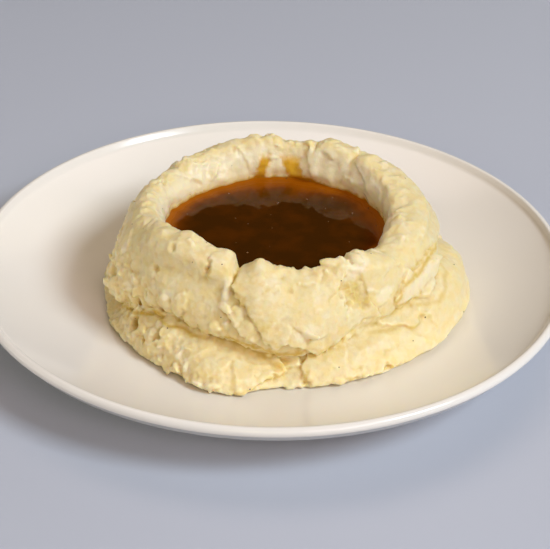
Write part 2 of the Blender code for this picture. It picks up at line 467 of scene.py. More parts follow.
# Angles are in degrees round the ring, 0 to the right, 270 to the front; heights and sizes in mm.
mashLook = {
    "baseVoxel": 0.6,
    "fineVoxel": 0.43,
    "triangles": 192000,
    "seed": 41,
    "ledges": [
        # the crease between the tiers, from the left round to the right
        ledge([(186, 12), (192, 12), (199, 12.4), (206, 14.6), (211, 16.5), (218, 19.2), (227, 21.3),
               (236, 22.1), (245, 21.4), (252, 22)], 1.2, 5, 2, 0.4, 1, width=0.8, shade=1),
        ledge([(250, 22), (256, 24.5), (262, 22.8), (267, 21.4), (271, 19.8), (275, 19.6),
               (279, 20.2), (283, 20.8)], 1.2, 5, 2.2, 0.8, 1.5, width=0.8, shade=1),
        # the wide tongue at the front: its left side, its torn lower edge, and the layer below
        ledge([(255.5, 47), (255.5, 43.7), (256.5, 41.4), (258.5, 38.2), (261, 36.8), (263, 34.4),
               (265, 31.3), (267, 29), (268.5, 26), (272, 25.2), (276, 24.4), (280, 22.8), (284, 21.4),
               (289, 19.6), (296, 19.6), (302, 20.2), (309, 20.8)], 2, 9, 1.1, 1.2, 0.8, shade=0.5),
        ledge([(251, 36), (254, 33.5), (257, 31), (260, 28.6), (264, 25.4), (268, 22.8)], 1.4, 4, 1.2,
               0.9, 0.5),
        ledge([(276, 31.8), (279, 28.6), (283, 26.8), (288, 26.6)], 1, 3, 0.7, 0.4, 0.4),
        # the long crease on the right and the thick piece beside it
        ledge([(351, 36.4), (346, 36.8), (340, 36.8), (334, 35.6), (329, 34.4), (322, 32.6),
               (318, 29.8), (315.5, 27.4)], 1, 5, 2.1, 0.5, 0.3, width=0.8, shade=0.9),
        ledge([(314.5, 28.3), (320, 25.6), (325, 24), (330, 23.6), (335, 25.2), (341, 27.6),
               (348, 30)], 0.9, 5, 1.2, 0.5, 0.5, width=0.8, shade=0.5),
        ledge([(303, 20.6), (306, 20.8), (311, 20.1), (318, 19.2), (321, 18.8), (324, 20.4),
               (327, 22.4)], 0.9, 5, 1.2, 0.5, 0.6, width=0.8, shade=0.6),
        ledge([(312, 26), (309, 28), (307, 31), (306, 34)], 0.9, 5, 0.6, 0.6, 0.2),
        # the porous patch right of the tongue
        ledge([(299, 32.5), (296.5, 35), (295.5, 38), (296, 40.4), (299, 42.6), (303, 43.4)], 0.4, 3,
               1.3, 1.3, 0.2),
        ledge([(305, 43), (305.5, 40), (306.5, 37), (306, 34), (303.5, 31.5)], 0.5, 4, 1.1, 1.3, 0.2),
        # folds at the left of the tongue
        ledge([(244, 50.5), (244.5, 48.4), (246, 46.4), (245, 44.2), (245.5, 42)], 1, 4, 1.2, 0.6, 0.3),
        # the two torn tips of the lower tier at the front
        ledge([(258, 8.8), (262, 9.8), (266, 11.2), (270, 11.6), (274, 12.6), (271.5, 14.6),
               (267.5, 16.8)], 2, 5, 1.6, 0.9, 0.7, shade=0.6),
        ledge([(269, 13.6), (274, 13.2), (279.4, 13.9), (278, 15.6), (272, 16.9), (267, 18.4)], 1.5,
               3, 1.3, 0.7, 0.5),
        ledge([(283, 16.2), (280.5, 14), (280, 11.6), (281.5, 9.4)], 1.6, 5, 1.4, 0.7, 0.5),
        # the lower left tier
        ledge([(228.5, 22.5), (231, 20), (233, 18), (231, 16), (227.5, 14.4), (222, 13.6)], 1.5, 6,
               1.3, 0.9, 0.3),
        ledge([(214, 14.5), (216, 17.5), (220, 19.3), (224, 20)], 1.2, 2.5, 1.4, 0.7, 0.4),
        ledge([(234, 9.5), (239, 9.9), (245, 10.3), (251, 10.4), (257, 10.3)], 1.1, 3, 1, 1.2, 0.8),
        # the notches along the foot at the front right
        ledge([(284, 8.8), (290, 9.4), (296, 10.2), (301, 9.6), (307, 10.8), (314, 10.4)], 0.9, 4,
               0.9, 0.8, 0.7),
        # the back of the ring
        ledge([(18, 27), (30, 25), (42, 24), (55, 23.5), (68, 23), (80, 21.5), (92, 21)], 1.6, 6, 2.3,
               1, 1),
        ledge([(90, 21), (104, 19), (117, 18.4), (130, 18), (143, 18.5), (155, 18.5), (168, 17),
               (178, 14), (187, 12)], 1.5, 5, 2.3, 1.1, 1),
        ledge([(70, 44), (66, 40), (63, 35), (60, 31), (54, 28), (48, 26)], 1.9, 6, 1.4, 1, 0.5),
        ledge([(140, 45), (136, 40), (133, 36), (127, 32), (121, 29), (114, 27)], 1.8, 6, 1.3, 1, 0.5),
        ledge([(176, 44), (172, 39), (166, 34), (160, 30), (152, 27)], 1.5, 5, 1.2, 1, 0.5),
        ledge([(24, 40), (30, 36), (38, 33), (46, 32), (54, 33)], 1.6, 6, 1.1, 0.9, 0.5),
        # the inside of the hollow
        ledge([(75.5, 50), (73, 47), (72.5, 43.5), (70, 40), (69.5, 37)], 0.9, 6, 0.9, 0.6, 0, inner=True),
        ledge([(47, 47), (40, 44.5), (33, 41.5), (27, 38.5)], 0.9, 5, 0.8, 0.4, 0, inner=True),
        ledge([(152, 46), (147, 43), (141, 40.5), (136, 38)], 0.9, 5, 0.7, 0.5, 0, inner=True),
        ledge([(112, 48), (108, 45), (106, 41), (105, 38)], 0.7, 4, 0.5, 0.4, 0, inner=True),
    ],
    "pits": [
        # angle, height, radius, depth
        (229, 49.6, 1.2, 1.3), (223, 40.3, 1.5, 1.1), (245, 45.8, 1.2, 1.4), (217.5, 15.8, 2.5, 3.2),
        (276, 41.4, 1.2, 0.7), (304, 31.6, 1.4, 1.6), (330, 24.2, 0.9, 1), (280.6, 9.6, 1.6, 2.4),
        (296, 10, 1.1, 1.2), (306, 10.6, 1.4, 1.7), (200, 27, 2, 1.8), (303, 37.5, 1.4, 0.8),
        (208, 36, 1.4, 0.6),
    ],
    "crumbs": [
        # angle, half width, height, half height, size of the bits, how rough: broken places
        (301, 4.5, 36.5, 6, 1.9, 1.7), (190, 13, 26, 12, 2.6, 1), (246, 13, 11, 4, 2.4, 0.8),
        (259, 6, 31, 6, 3, 0.9), (222, 9, 17, 4, 3.6, 0.4), (205, 10, 34, 9, 3.2, 0.7),
        (240, 12, 26, 5, 3.6, 0.8), (303, 4, 45, 3, 2.6, 0.9), (150, 30, 30, 12, 3.4, 0.9),
        (80, 40, 30, 12, 3.4, 0.9), (25, 18, 32, 9, 3.4, 0.6),
    ],
    "lumps": [
        # angle, height, along, up, out, sunk share, turn
        (230, 29, 4.6, 4.2, 3, 0.42, 10), (236, 32, 3.8, 5, 2.8, 0.42, -10),
        (240, 26.8, 5, 3.4, 2.8, 0.42, -20), (246, 26, 4, 3.4, 2.4, 0.42, 0),
        (223.5, 26.6, 3.6, 4.4, 2.8, 0.4, 15), (218, 24, 3, 3.8, 2.4, 0.4, 5),
        (212, 21.6, 3, 3.2, 2.2, 0.4, 0), (252, 27.5, 3.6, 3, 2, 0.4, -25),
        (226, 23.6, 3, 2.2, 2, 0.35, 20), (253, 40.2, 1.3, 5.4, 1.7, 0.3, -4),
        (253.5, 35.2, 3.6, 1.1, 1.5, 0.3, -8), (198, 21, 4.4, 2, 1.5, 0.4, 16),
        (205, 19.6, 3.4, 2.4, 1.6, 0.45, 0), (227.6, 17.2, 3.3, 3.5, 1.6, 0.4, 10),
        (228.5, 20.8, 1.9, 1.8, 1.5, 0.25, 0), (211, 18.4, 4.2, 1.5, 1.6, 0.35, 15),
        (281, 28, 5, 1.7, 1.2, 0.35, 8), (302.5, 43.6, 3, 1.8, 1.5, 0.25, -5),
        (305, 45.9, 4.4, 2.6, 2.2, 0.3, 12), (313, 33.2, 4.4, 2.6, 1.3, 0.45, 12),
        (258, 34.4, 3, 2.8, 1.8, 0.4, 0), (262.5, 31, 2.6, 3, 1.8, 0.4, 0),
        (331, 31.2, 15, 4.4, 2, 0.5, 8), (241, 16.8, 0.9, 3, 1.2, 0.2, -30),
        (244.5, 14.8, 0.9, 3.6, 1.2, 0.2, 12), (243, 18.8, 2.2, 0.8, 1.1, 0.2, 10),
        (250, 11, 3.4, 1, 1.5, 0.15, -12), (254, 12, 3, 1.3, 1.6, 0.15, 6),
        (241, 12.6, 2.4, 1, 1.3, 0.15, -28), (234.5, 11.4, 2, 1.2, 1.2, 0.2, -20),
        (296, 46.5, 5, 2, 1.6, 0.35, 4), (272, 46.5, 5, 2.4, 1.6, 0.4, 0),
    ],
    "paleSpots": [
        # angle, height, half width, half height, turn: pale flakes
        (281, 28.2, 5, 1.8, 8), (302.5, 43.6, 3, 2, 0), (304.5, 45.5, 4, 2.4, 12),
        (313, 33, 4.4, 2.2, 12), (253, 39.8, 1.8, 4.6, 0), (253.5, 35.4, 3.2, 1.2, -8),
        (254, 12.2, 3.2, 1.2, 6), (250, 11.1, 3, 1, -12), (244.5, 14.8, 1.2, 3.2, 12),
        (241, 17, 1.2, 2.8, -30), (196, 20, 3.2, 1.2, 14), (228.5, 20.4, 1.7, 1.6, 0),
        (331, 31, 12.5, 3.8, 8), (194, 26, 1.2, 2.6, 20), (202, 38, 1.4, 2.8, 25),
        (197, 33, 2, 1.2, -20), (211, 27, 2.4, 1.6, 10), (232, 34, 2.6, 2, 0),
    ],
    "shadedSpots": [
        # the same rows: painted shade in pits and in the porous patch
        (301.5, 36, 3, 5, 15), (216.8, 15.6, 1.8, 1.8, 0), (303, 31.6, 1.6, 1.4, 0),
        (272, 15.4, 3, 0.9, 5), (280.5, 11, 0.9, 2.6, 0), (306, 10.4, 1.8, 1, 0),
        (295, 10, 1.6, 0.8, 0), (224, 40.3, 1.4, 1.1, 0), (245.8, 45.4, 1, 1.8, 0),
    ],
    "scatter": [
        # angle range, height range, how many, size range, how flat, sunk share
        (184, 224, 16, 38, 22, (1.2, 2.8), 0.5, 0.55), (224, 252, 22, 36, 10, (1.4, 3), 0.5, 0.55),
        (200, 262, 9, 20, 18, (1, 2.4), 0.45, 0.5), (120, 184, 14, 44, 60, (1.2, 3.2), 0.5, 0.55),
        (30, 120, 12, 44, 60, (1.2, 3.2), 0.45, 0.55), (256, 300, 9, 18, 12, (1, 2.2), 0.4, 0.5),
        (300, 390, 10, 42, 12, (1, 2.6), 0.3, 0.6),
    ],
    "pushes": [
        # angle, half width, height, half height, how far out
        (186, 20, 8, 6, -0.9), (190, 13, 19.5, 5.5, 2), (205, 9, 21, 4, 1.2), (262, 9, 27, 6, 1),
        (284, 12, 31, 8, 0.8), (240, 10, 29, 5, 1.4), (303, 5, 37, 5, -1.5), (318, 8, 38, 5, 0.8),
        (345, 12, 24, 4, 1), (232, 9, 41, 4, -0.8), (248, 5, 39, 6, -0.8), (222, 12, 46, 4, 0.9),
        (250, 4.5, 46, 4, 1.3), (60, 14, 34, 7, 1.2), (110, 15, 32, 7, 1), (85, 10, 12, 5, -1.2),
        # these fill the crease so that only a thin line is left of it
        (203, 8, 14.5, 2, 1.3), (217, 8, 18.4, 2, 1.6), (231, 8, 21.8, 2, 1.8), (246, 8, 21, 2, 1.8),
        (262, 8, 18.6, 2, 1.5), (278, 9, 16.6, 2, 1.4), (290, 9, 19.6, 2.2, 2),
        (304, 9, 21.2, 2.3, 2.8), (318, 9, 22.8, 2.3, 2.9), (331, 8, 25, 2.3, 2.2),
        (342, 7, 28, 2.3, 1.5),
    ],
    "tears": [
        # angle range, height range, how many, rise range: short torn edges at random
        (184, 256, 11, 36, 22, (0.3, 0.9)), (256, 306, 10, 44, 20, (0.25, 0.6)),
        (306, 345, 9, 44, 14, (0.2, 0.5)), (0, 40, 12, 42, 18, (0.3, 0.8)),
        (40, 184, 10, 42, 56, (0.4, 1)),
    ],
    "crest": [
        # angle, half width, how far up or down: the uneven outline of the crest
        (91, 2.5, 0.9), (106, 2.5, -0.8), (82, 5.5, 1.7), (69.5, 1.7, -1.7), (60, 8, 1),
        (47.5, 1.8, -1.5), (40, 3, 0.7), (120, 4, -0.7), (135, 5, 0.9), (143, 2.2, -1.4), (150, 4, 0.6),
        (25, 2, -0.6), (249, 5, 1.3), (254.6, 1.5, -2.6), (262, 5, 1.5), (273, 3.5, -0.9),
        (282, 3, 0.4), (299, 5, 1.6), (303.6, 1.6, -1.6), (310, 3, 0.6), (232, 5, 0.5), (222, 3, -0.5),
    ],
    "streaks": [
        # angle, half width, top, lean in degrees for each mm of height: runs of gravy on the wall
        (99.5, 3.4, 45.5, -0.45), (76, 5.6, 45, 0.8), (68, 3, 38.5, 0.5),
    ],
    "innerTears": 22,
    "wallRadius": 60,
    "hollowRadius": 44,
    "crestLumps": 24,
    "crestLowest": 40,
    "crestBand": (44.5, 52),
    # angle, half width, strength: how broken the surface is, and how torn the crest
    "broken": [(218, 32, 0.50), (160, 40, 0.35), (85, 50, 0.3), (340, 45, -0.20), (280, 18, -0.18)],
    "teeth": [(100, 45, 1.1), (290, 25, 0.7)],
    # strength, size, seed: layers of noise
    "swell": [(0.9, 13, 3), (0.5, 6.5, 5)],
    "shore": [(1.1, 7, 10), (0.6, 3, 16)],
    "crestNoise": [(0.8, 5, 14), (0.45, 2.4, 15)],
    "fine": [(0.26, 3.2, 31), (0.22, 1.8, 32), (0.12, 1.05, 35)],
    "wobble": [(0.5, 3, 75), (0.35, 8, 76)],
    "ragged": [(0.35, 2.4, 77), (0.2, 1.2, 79)],
    "smears": [
        # seed, size, strength, angle, half width, height where it starts and where it is full
        (17, 1, 1, 335, 40, 28, 22), (18, 1.4, 0.8, 215, 40, 34, 42),
        (19, 1.4, 0.8, 335, 40, 30, 36),
    ],
    "colour": (0.84, 0.685, 0.335, 1),
    "colourPatch": (0.83, 0.72, 0.43, 1),
    # creviceShade is painted shade in crevices, creases and pits
    "creviceShade": (0.645, 0.45, 0.09, 1),
    # paleAndLit is partly the potato's own whitish flakes, partly painted light on proud places and the
    # inner wall
    "paleAndLit": (0.90, 0.80, 0.55, 1),
    "stain": (0.70, 0.38, 0.008, 1),
    "soaked": (0.46, 0.17, 0.004, 1),
    "thread": (0.74, 0.58, 0.28, 1),
    "dryToWet": (0.46, 0.16),
    "flesh": {
        "Roughness": 0.5,
        "Subsurface Weight": 0.7,
        "Subsurface Radius": (1.0, 0.72, 0.24),
        "Subsurface Scale": 3.2 * mm,
        "IOR": 1.36,
    },
}


def catmullRom(a, b, c, d, t):
    bent = (2 * a - 5 * b + 4 * c - d) * t**2 + (3 * b - a - 3 * c + d) * t**3
    return b + 0.5 * ((c - a) * t + bent)


def dense(path, steps=3):
    rows = [np.array(p, float) for p in path]
    padded = [rows[0], *rows, rows[-1]]
    result = []
    for a, b, c, d in zip(padded, padded[1:], padded[2:], padded[3:]):
        result += [catmullRom(a, b, c, d, step / steps) for step in range(steps)]
    return result + [rows[-1]]


def onWall(tree, angle, height, inner=False):
    # a point and its normal, looking in at the outer wall from this angle, or out at the inner one
    out = outFrom(angle)
    # how far from the axis the ray starts, where it goes, and how long it may be
    back, aim, reach = (0.0, out, 0.055) if inner else (0.13, -out, 0.095)
    for drop in range(12):  # lower where the crest is lower than the height asked for
        start = Vector(ringCentre) + out * back + upward * ((height - drop) * mm)
        point, normal, _, _ = tree.ray_cast(start, aim)
        if point is not None and (point - start).length < reach:
            return point, normal


def onTop(tree, angle, radius):
    start = Vector(ringCentre) + outFrom(angle) * radius * mm + upward * 0.1
    point, normal, _, _ = tree.ray_cast(start, -upward)
    return point, normal


def besidePath(points, normals, tree, spec, seed):
    # for the points near a path: how far they are to its left, and how much they belong to it
    hits = [onWall(tree, a, h, spec["inner"]) for a, h in dense(spec["path"])]
    path = np.array([tuple(p) for p, _ in hits])
    facing = unit(relaxedRow(np.array([tuple(n) for _, n in hits])))
    far = 22 * mm
    low, high = path.min(0) - far, path.max(0) + far
    near = np.flatnonzero(((points > low) & (points < high)).all(1))
    local, start, along = points[near], path[:-1], path[1:] - path[:-1]
    offset = local[:, None] - start[None]
    share = (offset * along).sum(-1) / np.maximum((along**2).sum(-1), 1e-14)
    held = np.clip(share, 0, 1)
    gap = offset - held[..., None] * along
    best = (gap**2).sum(-1).argmin(1)
    pick = np.arange(len(near))
    gap, held = gap[pick, best], held[pick, best]
    tangent = unit(along)[best]
    normal = unit(facing[best] * (1 - held[:, None]) + facing[best + 1] * held[:, None])
    left = unit(np.cross(normal, tangent))
    side = (gap * left).sum(1) / mm
    beyond = np.abs((gap * tangent).sum(1)) / mm
    lift = np.abs((gap * normal).sum(1)) / mm
    progress = (best + held) / len(along)
    ends = smoothStep(0, 0.16, progress) * smoothStep(0, 0.16, 1 - progress)
    weight = np.exp(-((beyond / 1.5) ** 2)) * (0.15 + 0.85 * ends)
    weight *= smoothStep(9, 5, lift) * smoothStep(-0.1, 0.35, (normals[near] * normal).sum(1))
    side = side + spec["ragged"] * 1.5 * noiseAt(local, 3.6 * mm, seed, 2)
    side = side + spec["ragged"] * 0.8 * noiseAt(local, 1.5 * mm, seed + 9)
    return near, left, side, weight


def pressLedge(points, normals, move, tree, spec, seed):
    # adds one torn edge to the moves of the points near its path
    near, left, side, weight = besidePath(points, normals, tree, spec, seed)
    uneven = 1 + 0.5 * noiseAt(points[near], 9 * mm, seed + 4)
    proud = spec["rise"] * uneven * np.exp(-np.maximum(side, 0) / spec["reach"])
    cut = -spec["cut"] * uneven * np.exp(-np.maximum(-side, 0) / spec["width"])
    step = 1 / (1 + np.exp(-np.clip(side / 0.13, -30, 30)))
    out = (cut + (proud - cut) * step) * weight * mm
    over = spec["lean"] * step * np.exp(-np.maximum(side, 0) / 1.6) * weight * mm
    move[near] += normals[near] * out[:, None] - left * over[:, None]


def spotAt(points, tree, spot, seed):
    # an uneven oval patch on the outer wall, from 0 outside it to 1
    angle, height, wide, tall, turn = spot
    place, normal = onWall(tree, angle, height)
    along = upward.cross(normal).normalized()
    up = normal.cross(along)
    away = points - np.array(place)
    away = away * (1 + 0.4 * noiseAt(points, 2.2 * mm, seed)[:, None])
    right, rise = away @ np.array(along) / mm, away @ np.array(up) / mm
    lean = math.radians(turn)
    first = (right * math.cos(lean) + rise * math.sin(lean)) / wide
    second = (rise * math.cos(lean) - right * math.sin(lean)) / tall
    depth = np.abs(away @ np.array(normal)) / mm
    return smoothStep(1.2, 0.75, np.hypot(first, second)) * smoothStep(6, 4, depth)


def relaxedRow(rows, rounds=2):
    for _ in range(rounds):
        padded = np.vstack((rows[:1], rows, rows[-1:]))
        rows = (padded[:-2] + 2 * padded[1:-1] + padded[2:]) / 4
    return rows


def tearPath(middle, length, turn, bend, radius, shares):
    # a short path on a wall, through a middle place; the radius turns mm along the wall into degrees
    path = []
    for share in shares:
        along, across = share * length, bend * length * share * share
        right = along * math.cos(turn) - across * math.sin(turn)
        rise = along * math.sin(turn) + across * math.cos(turn)
        path.append((middle[0] + math.degrees(right / radius), middle[1] + rise))
    return path


def outerTears(draw):
    # short torn edges at random places and turns on the outer wall
    look = mashLook
    specs = []
    for low, high, bottom, top, count, rises in look["tears"]:
        for _ in range(count):
            angle, height = draw.uniform(low, high) % 360, draw.uniform(bottom, top)
            length, turn = draw.uniform(3, 8), math.radians(draw.gauss(0, 32))
            if draw.random() < 0.25:
                turn += math.pi
            bend = draw.uniform(-0.35, 0.35)
            shares = (-1, -0.35, 0.35, 1)
            path = tearPath((angle, height), length, turn, bend, look["wallRadius"], shares)
            path = [(a, min(max(h, 8.5), 49)) for a, h in path]
            rise, reach, cut = draw.uniform(*rises), draw.uniform(2, 5), draw.uniform(0.2, 0.8)
            ragged, lean = draw.uniform(0.5, 0.9), draw.uniform(0.1, 0.5)
            specs.append(ledge(path, rise, reach, cut, ragged, lean))
    return specs


def innerTears(draw):
    # the same on the inside of the hollow, near the crest
    look = mashLook
    specs = []
    for _ in range(look["innerTears"]):
        angle, height, length = draw.uniform(0, 360), draw.uniform(40, 46), draw.uniform(2.5, 6)
        turn = draw.gauss(0, 0.5) + (math.pi if draw.random() < 0.4 else 0)
        # seen from inside, the angles run the other way
        path = tearPath((angle, height), length, turn, 0, -look["hollowRadius"], (-1, -0.3, 0.4, 1))
        path = [(a, max(h, 36.5)) for a, h in path]
        rise, reach, cut = draw.uniform(0.35, 0.9), draw.uniform(2, 5), draw.uniform(0.2, 0.6)
        specs.append(ledge(path, rise, reach, cut, 0.7, 0.1, inner=True))
    return specs


def pressPit(points, normals, move, tree, pit, seed):
    # a hole with a slightly raised rim
    angle, height, radius, depth = pit
    place, _ = onWall(tree, angle, height)
    away = np.linalg.norm(points - np.array(place), axis=1) / mm
    near = np.flatnonzero(away < 3 * radius)
    bent = 0.45 * noiseAt(points[near], 1.4 * radius * mm, seed)
    bent += 0.3 * noiseAt(points[near], 0.6 * radius * mm, seed + 1)
    size = away[near] / radius * (1 + bent)
    out = -depth * np.exp(-(size**3)) + 0.22 * depth * hill(size, 1.5, 0.5)
    move[near] += normals[near] * (out * mm)[:, None]


def roundBall():
    ball = bmesh.new()
    bmesh.ops.create_icosphere(ball, subdivisions=3, radius=1.0)
    points = np.array([tuple(v.co) for v in ball.verts])
    faces = np.array([[v.index for v in f.verts] for f in ball.faces])
    ball.free()
    return points, faces


lumpPoints, lumpFaces = roundBall()


def lumpAt(place, normal, size, sunk, turn, tilt, seed, rough=0.22):
    # one lump: an uneven ellipsoid, along the ring, up the wall and out of it
    up = upward if abs(normal.z) < 0.9 else Vector((0, 1, 0))
    along = up.cross(normal).normalized()
    rotation = Matrix((along, normal.cross(along), normal)).transposed()
    rotation = rotation @ Matrix.Rotation(math.radians(turn), 3, "Z")
    rotation = rotation @ Matrix.Rotation(math.radians(tilt), 3, "X")
    swell = 1 + rough * noiseAt(lumpPoints, 0.8, seed) + 0.5 * rough * noiseAt(lumpPoints, 0.35, seed)
    local = lumpPoints * swell[:, None] * np.array(size) * mm
    centre = Vector(place) - normal * (size[2] * sunk * mm)
    return local @ np.array(rotation).T + np.array(centre)


def gatherLumps(tree):
    # every lump that is pressed into the mash, as one list of points and faces
    look = mashLook
    draw = random.Random(look["seed"])
    groups = []
    for n, (angle, height, along, up, out, sunk, turn) in enumerate(look["lumps"]):
        place, normal = onWall(tree, angle, height)
        groups.append(lumpAt(place, normal, (along, up, out), sunk, turn, 0, 100 + n))
    for low, high, bottom, top, count, sizes, flat, sunk in look["scatter"]:
        for _ in range(count):
            angle, height = draw.uniform(low, high), draw.uniform(bottom, top)
            place, normal = onWall(tree, angle, height)
            wide = draw.uniform(*sizes)
            size = (wide * draw.uniform(0.9, 1.6), wide * draw.uniform(0.6, 1.0), wide * flat)
            turn, tilt = draw.uniform(-50, 50), draw.uniform(-20, 20)
            groups.append(lumpAt(place, normal, size, sunk, turn, tilt, draw.randint(0, 900)))
    for _ in range(look["crestLumps"]):
        angle, radius = draw.uniform(0, 360), draw.uniform(*look["crestBand"])
        place, normal = onTop(tree, angle, radius)
        if place.z < look["crestLowest"] * mm:
            continue
        wide = draw.uniform(0.9, 2.2)
        size = (wide * draw.uniform(0.9, 1.8), wide * draw.uniform(0.6, 1.0), wide * 0.5)
        turn = draw.uniform(-90, 90)
        groups.append(lumpAt(place, normal, size, 0.45, turn, 0, draw.randint(0, 900)))
    faces = [lumpFaces + n * len(lumpPoints) for n in range(len(groups))]
    return np.vstack(groups), np.vstack(faces)


def craggy(angles, heights):
    # how broken the surface is: most low on the left, least on the front tongue and the right
    share = arcs(angles, 0.28, mashLook["broken"])
    return np.clip(share * (1 - 0.7 * smoothStep(32, 42, heights)), 0.06, 1)


def spoonedRelief(points, warped):
    # lumps, crumbs, smears and folds, in mm along the normals
    look = mashLook
    angles, radii, heights = ringPlaces(points)
    broken = craggy(angles, heights)
    swell = noises(points, look["swell"])
    lumpy = broken * 0.9 * (domesAt(warped, 7.5 * mm, 2) - 0.55)
    crumbly = np.zeros(len(points))
    for n, (angle, wide, height, tall, size, rough) in enumerate(look["crumbs"]):
        there = arc(angles, angle, wide) * hill(heights, height, tall)
        rows = np.flatnonzero(there > 0.02)
        bits = domesAt(warped[rows], size * mm, 40 + n) - 0.5
        bits += 0.5 * (domesAt(warped[rows], 0.5 * size * mm, 60 + n) - 0.5)
        crumbly[rows] += rough * there[rows] * bits
    # long smears along the ring, left by the back of the spoon
    around = np.stack((np.radians(angles) * 2.4, radii / 4.5, heights / 4.5), 1)
    smear = 0
    for seed, size, strength, angle, wide, low, high in look["smears"]:
        streak = strength * noiseAt(around, size, seed, 2) * arc(angles, angle, wide)
        smear = smear + streak * smoothStep(low, high, heights)
    shown = smoothStep(7.2, 10, heights) * smoothStep(40, 46, radii)
    relief = shown * (swell * (0.5 + 0.4 * broken) + lumpy + crumbly + 0.7 * smear)
    # soft upright runs on the inner wall
    turns = np.radians(angles)
    runs = np.stack((np.cos(turns) * 6, np.sin(turns) * 6, heights / 22), 1)
    folds = 1.0 * noiseAt(runs, 1.0, 8, 2) * arcs(angles, 1, [(55, 35, 0.8)])
    inside = smoothStep(46, 41, radii) * smoothStep(35, 38, heights)
    relief += inside * (folds + 0.6 * noiseAt(points, 6 * mm, 9, 2))
    shore = smoothStep(48, 43, radii) * hill(heights, 34.5, 3.5)
    return relief + shore * noises(points, look["shore"])


def crestRise(points, warped):
    # the torn and uneven outline of the crest, in mm upwards
    look = mashLook
    angles, radii, heights = ringPlaces(points)
    crest = smoothStep(38, 44, heights) * smoothStep(42, 45, radii) * smoothStep(56, 51, radii)
    teeth = arcs(angles, 0.12, look["teeth"])
    teeth = teeth * (0.25 + 1.3 * smoothStep(-0.2, 0.5, noiseAt(points, 10 * mm, 22)))
    rise = teeth * (domesAt(warped, 3.3 * mm, 21) - 0.5)
    rise = arcs(angles, rise, look["crest"]) + noises(points, look["crestNoise"])
    return rise * crest


def ricedRelief(points):
    # the fine texture of riced potato, and pores
    angles, radii, heights = ringPlaces(points)
    broken = craggy(angles, heights)
    fine = noises(points, mashLook["fine"])
    fine += 0.30 * (0.25 - np.abs(noiseAt(points, 2.7 * mm, 36)))
    fine += 0.34 * broken * (0.22 - np.abs(noiseAt(points, 1.7 * mm, 37)))
    pores = -0.3 * smoothStep(0.45, 0.8, noiseAt(points, 1.7 * mm, 33))
    pores = pores * smoothStep(0.0, 0.4, noiseAt(points, 9 * mm, 34))
    calm = 1 - 0.45 * arc(angles, 340, 38) * smoothStep(30, 22, heights)
    shown = smoothStep(6.8, 8.5, heights) * smoothStep(40, 46, radii)
    inside = smoothStep(46, 41, radii) * smoothStep(34, 35, heights)
    relief = shown * calm * ((0.7 + 0.9 * broken) * fine + (0.3 + 0.7 * broken) * pores)
    return relief + 0.32 * inside * fine


def makeMash():
    look = mashLook
    obj = newObject("mashBase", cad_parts["mash"].data.copy())
    facesOut(obj.data, 0.01 * mm)
    remesh(obj, look["baseVoxel"] * mm)
    mesh = obj.data
    points = relaxed(readPoints(mesh), readEdges(mesh), 24)
    writePoints(mesh, points)
    normals = readPoints(mesh, "normal")
    tree = surfaceTree(points, mesh)
    say("mash base, %d points" % len(points))

    move = np.zeros_like(points)
    draw = random.Random(look["seed"] + 1)
    for n, spec in enumerate(look["ledges"] + outerTears(draw) + innerTears(draw)):
        pressLedge(points, normals, move, tree, spec, 20 + n)
    for n, pit in enumerate(look["pits"]):
        pressPit(points, normals, move, tree, pit, 60 + n)
    angles, radii, heights = ringPlaces(points)
    outer = smoothStep(40, 46, radii)
    for angle, wide, height, tall, out in look["pushes"]:
        amount = out * arc(angles, angle, wide) * hill(heights, height, tall) * outer
        move += normals * (amount * mm)[:, None]
    warped = points + 1.2 * mm * np.stack([noiseAt(points, 4 * mm, s) for s in (11, 12, 13)], 1)
    move += normals * (spoonedRelief(points, warped) * mm)[:, None]
    move[:, 2] += crestRise(points, warped) * mm
    points = points + move
    writePoints(mesh, points)
    say("mash pressed")

    lumps, faces = gatherLumps(surfaceTree(points, mesh))
    own = readPoints(mesh)
    quads = readRows(mesh.polygons, "vertices", 4, np.int32).tolist()
    joined = np.vstack((own, lumps))
    whole = meshObject("mashSculpted", joined, quads + (faces + len(own)).tolist())
    bpy.data.objects.remove(obj)
    remesh(whole, look["fineVoxel"] * mm)
    mesh = whole.data
    points = relaxed(readPoints(mesh), readEdges(mesh), 1, 0.35)
    writePoints(mesh, points)
    say("mash joined, %d points" % len(points))

    points = points + readPoints(mesh, "normal") * (ricedRelief(points) * mm)[:, None]
    # nothing reaches below the plate's surface
    floor = np.array([plateSurface(r) for r in np.hypot(points[:, 0], points[:, 1])])
    points[:, 2] = np.maximum(points[:, 2], floor - 0.4 * mm)
    writePoints(mesh, points)
    thin(whole, look["triangles"])
    colourMasks(whole.data)
    whole.data.shade_smooth()
    whole.data.materials.clear()
    whole.data.materials.append(mashMaterial())
    finishPiece(whole, "mash")
    return whole


def keepLargest(mesh):
    # drops the loose bits that remeshing and thinning leave beside the main body
    body = bmesh.new()
    body.from_mesh(mesh)
    seen, islands = set(), []
    for first in body.verts:
        if first in seen:
            continue
        island = [first]
        seen.add(first)
        for vert in island:
            for edge in vert.link_edges:
                other = edge.other_vert(vert)
                if other not in seen:
                    seen.add(other)
                    island.append(other)
        islands.append(island)
    largest = max(islands, key=len)
    loose = [vert for island in islands if island is not largest for vert in island]
    bmesh.ops.delete(body, geom=loose, context="VERTS")
    body.to_mesh(mesh)
    body.free()


def thin(obj, triangles):
    count = sum(len(p.vertices) - 2 for p in obj.data.polygons)
    modifier = obj.modifiers.new("thin", "DECIMATE")
    modifier.ratio = min(triangles / count, 1.0)
    applyModifiers(obj)
    obj.data.validate()
    keepLargest(obj.data)
    say("mash thinned from %d triangles" % count)


